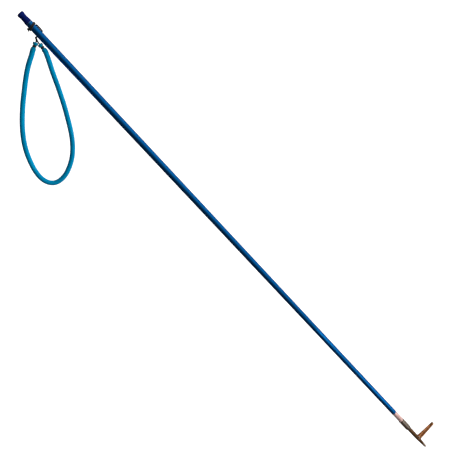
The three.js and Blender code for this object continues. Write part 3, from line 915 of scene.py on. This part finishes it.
def hex_prism(name, x0, x1, across_flats):
    """A hexagonal bar about X, with corners towards +Z and -Z."""
    radius = across_flats / 2 / math.cos(math.pi / 6)
    bm = bmesh.new()
    start, end = [[bm.verts.new((x * MM, radius * math.sin(k * math.pi / 3) * MM,
                                 radius * math.cos(k * math.pi / 3) * MM)) for k in range(6)]
                  for x in (x0, x1)]
    bm.faces.new(start)
    bm.faces.new(end[::-1])
    for k in range(6):
        m = (k + 1) % 6
        bm.faces.new((start[k], start[m], end[m], end[k]))
    bmesh.ops.recalc_face_normals(bm, faces=bm.faces)
    me = bpy.data.meshes.new("hex")
    bm.to_mesh(me)
    bm.free()
    return link(name, me)


def build_coupling():
    x0, x1 = COUPLING_X0, COUPLING_X1
    # (x, r) of the four turned tools
    chamfers = [(x0 - 1, 0), (x0 - 1, 7.1), (x0 + 2.0, 7.5), (x0 + 3.4, 8.8), (1407.4, 8.8),
                (1409.7, 7.4), (1411.5, 7.35), (1411.5, 0)]
    collars = [(x0, 0), (x0, 7.3), (x0 + 0.45, 7.75), (x0 + 2.0, 7.75), (x0 + 2.5, 7.4),
               (x0 + 2.7, 6.4), (1400, 6.4), (1409.2, 6.5), (1409.7, 7.25), (1412.9, 7.25),
               (1413.5, 7.0), (1414.1, 6.88), (1414.7, 6.9), (1417.6, 6.35), (x1, 5.8), (x1, 0)]
    stud_bore = [(x0 - 2, 0), (x0 - 2, 4.6), (x0, 4.6), (x0 + 0.7, 4.0), (1389.6, 4.0),
                 (1390.8, 0)]
    shaft_bore = [(1404.6, 0), (1406.0, 3.2), (x1 + 2, 3.2), (x1 + 2, 0)]
    coupling = hex_prism("Hex_Coupling", x0 + 2.0, 1409.6, across_flats=15.0)
    boolean(coupling, lathe("chamfers", chamfers), "INTERSECT")
    boolean(coupling, lathe("collars", rounded(collars, 0.15, 2)), "UNION")
    boolean(coupling, lathe("stud_bore", stud_bore, segs=64))
    boolean(coupling, lathe("shaft_bore", shaft_bore, segs=64))
    bevel(coupling, 0.14, angle=25, sharp=35)
    dress(coupling, COUPLING, "coupling_grey", "hex_adaptor", body="head")


# ------------------------------------------------------------------ shaft, barb, rivet

# (x, r): stem in the coupling, grooved collar, shaft, taper to the blunt point
SHAFT_PROFILE = [
    (1406.4, 0), (1406.4, 2.4), (1407.0, 2.9), (1418.8, 2.9), (1418.8, 5.3), (1419.3, 5.6),
    (1420.6, 5.6), (1421.0, 5.38), (1421.6, 5.38), (1422.0, 5.6), (1455, 5.6), (1461, 5.4),
    (1474, 5.0), (1479.5, 4.65), (1481, 4.5), (1493, 3.9), (1507.0, 3.3), (1509.6, 2.5),
    (1511.0, 1.6), (1511.0, 0)]


def pin_tool(half_length, radius, segs, x=0.0):
    """A cylinder along Z, to cut a pin hole."""
    pin = lathe("pin", [(-half_length, 0), (-half_length, radius), (half_length, radius),
                        (half_length, 0)], segs)
    place(pin, 90, "Y", x)
    return pin


def build_shaft():
    shaft = lathe("Tip_Shaft_Point", refine(rounded(SHAFT_PROFILE, 0.3, 3), 2.5), segs=80)
    boolean(shaft, pin_tool(8, 1.8, 40, PIVOT_X))
    smooth(shaft.data, 32)
    dress(shaft, SHAFT, "shaft_bronze", "tip_shaft", body="head")


def prism(name, layers):
    """A solid from outlines of equally many points, one after the other."""
    n, last = len(layers[0]), len(layers) - 1
    faces = [tuple(range(n)), tuple(reversed(range(last * n, (last + 1) * n)))]
    for i in range(last):
        for j in range(n):
            k = (j + 1) % n
            faces.append((i * n + j, i * n + k, (i + 1) * n + k, (i + 1) * n + j))
    return name, [v for layer in layers for v in layer], faces


def channel(name, half_depth, half_height, corner, open_to, x0, x1):
    """A bar along X of U section, filled up to y = open_to, tapering with x."""
    arc, steps = 14, 40
    base = -half_depth + corner
    section = [(-half_height, open_to), (-half_height, base)]
    for i in range(1, arc + 1):
        angle = math.pi + (math.pi / 2) * (i / arc)
        section.append((-half_height + corner + corner * math.cos(angle),
                        base + corner * math.sin(angle)))
    for i in range(arc + 1):
        angle = 1.5 * math.pi + (math.pi / 2) * (i / arc)
        section.append((half_height - corner + corner * math.cos(angle),
                        base + corner * math.sin(angle)))
    section.append((half_height, open_to))
    verts = []
    for x in np.linspace(x0, x1, steps + 1):
        depth = 1 - 0.36 * min(1.0, max(0.0, x / BARB_LENGTH))
        height = 1 - 0.30 * min(1.0, max(0.0, (x - 18) / (BARB_LENGTH - 18)))
        verts.extend((x, y * depth, -z * height) for z, y in section)
    n = len(section)
    faces = [tuple(range(n)), tuple(reversed(range(steps * n, (steps + 1) * n)))]
    for i in range(steps):
        for j in range(n):
            k = (j + 1) % n
            faces.append((i * n + j, (i + 1) * n + j, (i + 1) * n + k, i * n + k))
    return solid(name, verts, faces)


def slab(name, outline, z0, z1):
    n = len(outline)
    verts = [(x, y, z) for z in (z0, z1) for x, y in outline]
    faces = [tuple(range(n)), tuple(reversed(range(n, 2 * n)))]
    faces += [(j, (j + 1) % n, n + (j + 1) % n, n + j) for j in range(n)]
    return solid(name, verts, faces)


def barb_outline():
    """(x, y) side view of the barb: slanted free end, open edge, heel round the pivot."""
    end, heel = BARB_LENGTH, 4.5
    outline = [(end - 3.6, -5.4), (end - 0.12, -0.1), (end, 0.15), (end - 0.12, 0.4),
               (end - 0.5, 0.52), (44, 0.6), (25, 0.9), (12, 1.5), (6, 2.8)]
    for i in range(25):
        angle = math.radians(68 + 190 * (i / 24))
        outline.append((heel * math.cos(angle), heel * math.sin(angle)))
    return outline + [(2.0, -heel), (3.5, -6.5)]


def build_barb():
    """Made along X with its pivot at the origin and its channel open to +Y, then put in place."""
    end = BARB_LENGTH
    barb = channel("Hinged_Barb", half_depth=5.5, half_height=6.5, corner=4.7, open_to=6.0,
                   x0=-6.5, x1=end + 3)
    boolean(barb, channel("inside", half_depth=4.65, half_height=5.65, corner=4.0,
                          open_to=12.0, x0=-9, x1=50.5))
    boolean(barb, slab("outline", barb_outline(), -8, 8), "INTERSECT")
    # clear the web between the cheeks at the pivot
    boolean(barb, slab("web", [(-9, -7), (5.3, -7), (5.3, 7), (-9, 7)], -5.6, 5.6))
    boolean(barb, pin_tool(9, 1.58, 48))
    # the +Z side of the free end is cut to a slant
    slant_x, slant_z, slant = end - 6.5, 4.6, 14
    cutter = slab("slant", [(end - 9, -8), (end + 4, -8), (end + 4, 8), (end - 9, 8)], 0, 6)
    cutter.data.transform(Matrix.Translation((slant_x * MM, 0, slant_z * MM))
                          @ Matrix.Rotation(math.radians(slant), 4, "Y")
                          @ Matrix.Translation((-slant_x * MM, 0, 0)))
    boolean(barb, cutter)
    bevel(barb, 0.22, angle=35, sharp=45)
    place(barb, 94, "Z", PIVOT_X)
    dress(barb, BARB, "barb_bronze", "barb", body="barb")


# (distance along the rivet, r): domed head at -Z, head with a shallow dish at +Z
RIVET_PROFILE = [
    (-7.45, 0), (-7.42, 0.9), (-7.25, 1.9), (-6.95, 2.5), (-6.7, 2.6), (-6.7, 1.5), (6.7, 1.5),
    (6.7, 2.6), (6.95, 2.5), (7.25, 1.9), (7.38, 1.1), (7.12, 0.75), (7.1, 0)]


def build_rivet():
    profile = refine(rounded(RIVET_PROFILE, 0.12, 2), 1.0)
    rivet = lathe("Barb_Rivet", profile, segs=64, sharp=40)
    place(rivet, -90, "Y", PIVOT_X)
    dress(rivet, RIVET, "rivet_steel", "barb_rivet", body="head")


# ------------------------------------------------------------------ floor, light, camera (metres)

scene = bpy.context.scene


def build_floor():
    """A bright floor 0.5 m below the lowest piece, which lights and mirrors in nothing."""
    low = min((ob.matrix_world @ Vector(c)).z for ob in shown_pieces() for c in ob.bound_box)
    me = bpy.data.meshes.new("floor")
    me.from_pydata([(-6, -6, 0), (6, -6, 0), (6, 6, 0), (-6, 6, 0)], [], [(0, 1, 2, 3)])
    floor = link("floor", me)
    floor.location.z = low - 0.5
    material = bpy.data.materials.new("floor")
    material.use_nodes = True
    inputs = material.node_tree.nodes["Principled BSDF"].inputs
    inputs["Base Color"].default_value = (0.86, 0.86, 0.86, 1)
    inputs["Roughness"].default_value = 0.9
    inputs["Emission Color"].default_value = (1, 1, 1, 1)
    inputs["Emission Strength"].default_value = 0.93
    me.materials.append(material)
    floor.visible_glossy = False
    floor.visible_diffuse = False
    floor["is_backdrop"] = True


def build_world():
    """White surroundings, dim all round and brighter towards +Y."""
    bright_side, falloff, gain, ambient = (0.30, 0.92, 0.25), 2.0, 0.70, 0.06
    world = bpy.data.worlds.new("studio")
    scene.world = world
    world.use_nodes = True
    nodes, links = world.node_tree.nodes, world.node_tree.links
    background = nodes["Background"]
    coord = nodes.new("ShaderNodeTexCoord")
    facing = nodes.new("ShaderNodeVectorMath")
    facing.operation = "DOT_PRODUCT"
    facing.inputs[1].default_value = Vector(bright_side).normalized()
    ramp = nodes.new("ShaderNodeMapRange")
    for key, value in {"From Min": -0.3, "From Max": 1.0, "To Min": 0.0, "To Max": 1.0}.items():
        ramp.inputs[key].default_value = value
    curve = nodes.new("ShaderNodeMath")
    curve.operation = "POWER"
    curve.inputs[1].default_value = falloff
    level = nodes.new("ShaderNodeMath")
    level.operation = "MULTIPLY_ADD"
    level.inputs[1].default_value = gain
    level.inputs[2].default_value = ambient
    links.new(coord.outputs["Generated"], facing.inputs[0])
    links.new(facing.outputs["Value"], ramp.inputs["Value"])
    links.new(ramp.outputs["Result"], curve.inputs[0])
    links.new(curve.outputs[0], level.inputs[0])
    links.new(level.outputs[0], background.inputs["Strength"])
    background.inputs["Color"].default_value = (1, 1, 1, 1)


def area(name, direction, distance, size, power, aim=(0.75, -0.02, 0), glossy=True):
    """A rectangular lamp at a distance from aim, facing it."""
    light = bpy.data.lights.new(name, "AREA")
    light.shape, light.energy = "RECTANGLE", power
    light.size, light.size_y = size
    ob = link(name, light)
    direction = Vector(direction).normalized()
    ob.location = Vector(aim) + direction * distance
    ob.rotation_euler = (-direction).to_track_quat("-Z", "Y").to_euler()
    ob.visible_glossy = glossy


def build_lights():
    area("key", direction=(0.3, 0.95, 0.44), distance=2.6, size=(2.2, 0.8), power=44,
         glossy=False)
    area("fill", direction=(-0.1, 0.35, 0.93), distance=2.6, size=(2.0, 0.8), power=8,
         glossy=False)
    # a small lamp on the -X side opens up the channel of the barb
    area("kicker", direction=(-0.85, 0.25, 0.6), distance=0.4, size=(0.3, 0.2), power=0.7,
         aim=(1.467, 0.03, 0))
    area("glint", direction=(0.45, 0.55, 0.75), distance=0.45, size=(0.14, 0.3), power=0.17,
         aim=(1.42, 0, 0))


def build_camera():
    cam = bpy.data.cameras.new("camera")
    cam.sensor_width, cam.lens = 36, 48
    cam.shift_x, cam.shift_y = -0.00148889, 0.000435556
    right, up = Vector((0.6319, 0.7296, 0.2617)), Vector((-0.6740, 0.6839, -0.2792))
    forward = Vector((0.3827, 0.0, -0.9239))
    roll = 0.00393  # radians
    right, up = (right * math.cos(roll) + up * math.sin(roll),
                 up * math.cos(roll) - right * math.sin(roll))
    camera = link("camera", cam)
    turn = Matrix((right, up, -forward)).transposed()
    camera.matrix_world = Matrix.Translation((0.0817, 0.012, 1.246)) @ turn.to_4x4()
    scene.camera = camera


build_pole()
build_plug()
build_tether_cord()
build_wrap_knot()
build_bridle_knot()
for side in SIDES:
    for build in (build_bridle_leg, build_stopper_knot, build_ligature):
        build(side, MOUTH[side], INWARD[side])
build_band()
build_ferrule()
build_seal()
build_stud()
build_coupling()
build_shaft()
build_barb()
build_rivet()
build_floor()
build_world()
build_lights()
build_camera()
scene.view_settings.view_transform = "Standard"
